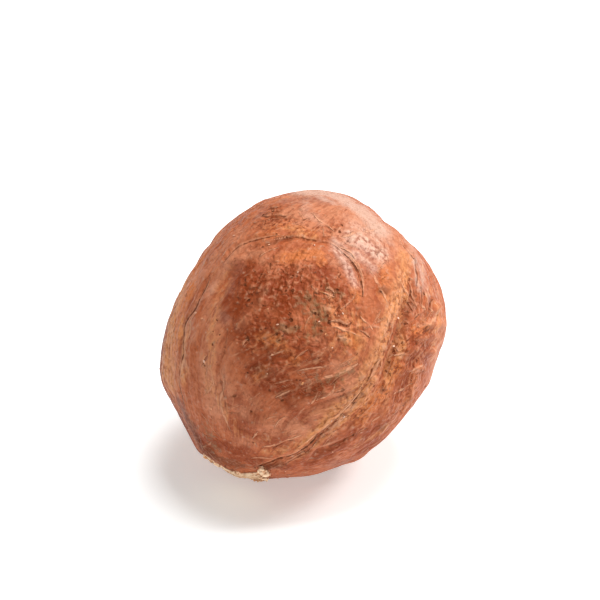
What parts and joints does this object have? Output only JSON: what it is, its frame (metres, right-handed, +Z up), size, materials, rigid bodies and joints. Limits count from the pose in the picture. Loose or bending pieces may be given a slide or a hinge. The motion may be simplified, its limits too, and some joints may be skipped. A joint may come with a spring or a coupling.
{
  "type": "hazelnut kernel",
  "caption": "Shelled hazelnut kernel in its reddish-brown wrinkled skin, lying on a small flat of its side with its broken tip low.",
  "frame": {"origin": "middle of the small flat that the kernel lies on, at the height of the floor", "axes": "+Z is up, out of the floor. -Y is the side seen in the picture. The kernel's own axis dips 44 degrees below level towards its tip, which points to -X and -Y."},
  "size_m": [0.0154, 0.0153, 0.0153],
  "materials": {
    "skin": "dry, slightly silky wrinkled skin"
  },
  "bodies": {
    "root": {"kernel": "skin"}
  },
  "joints": []
}
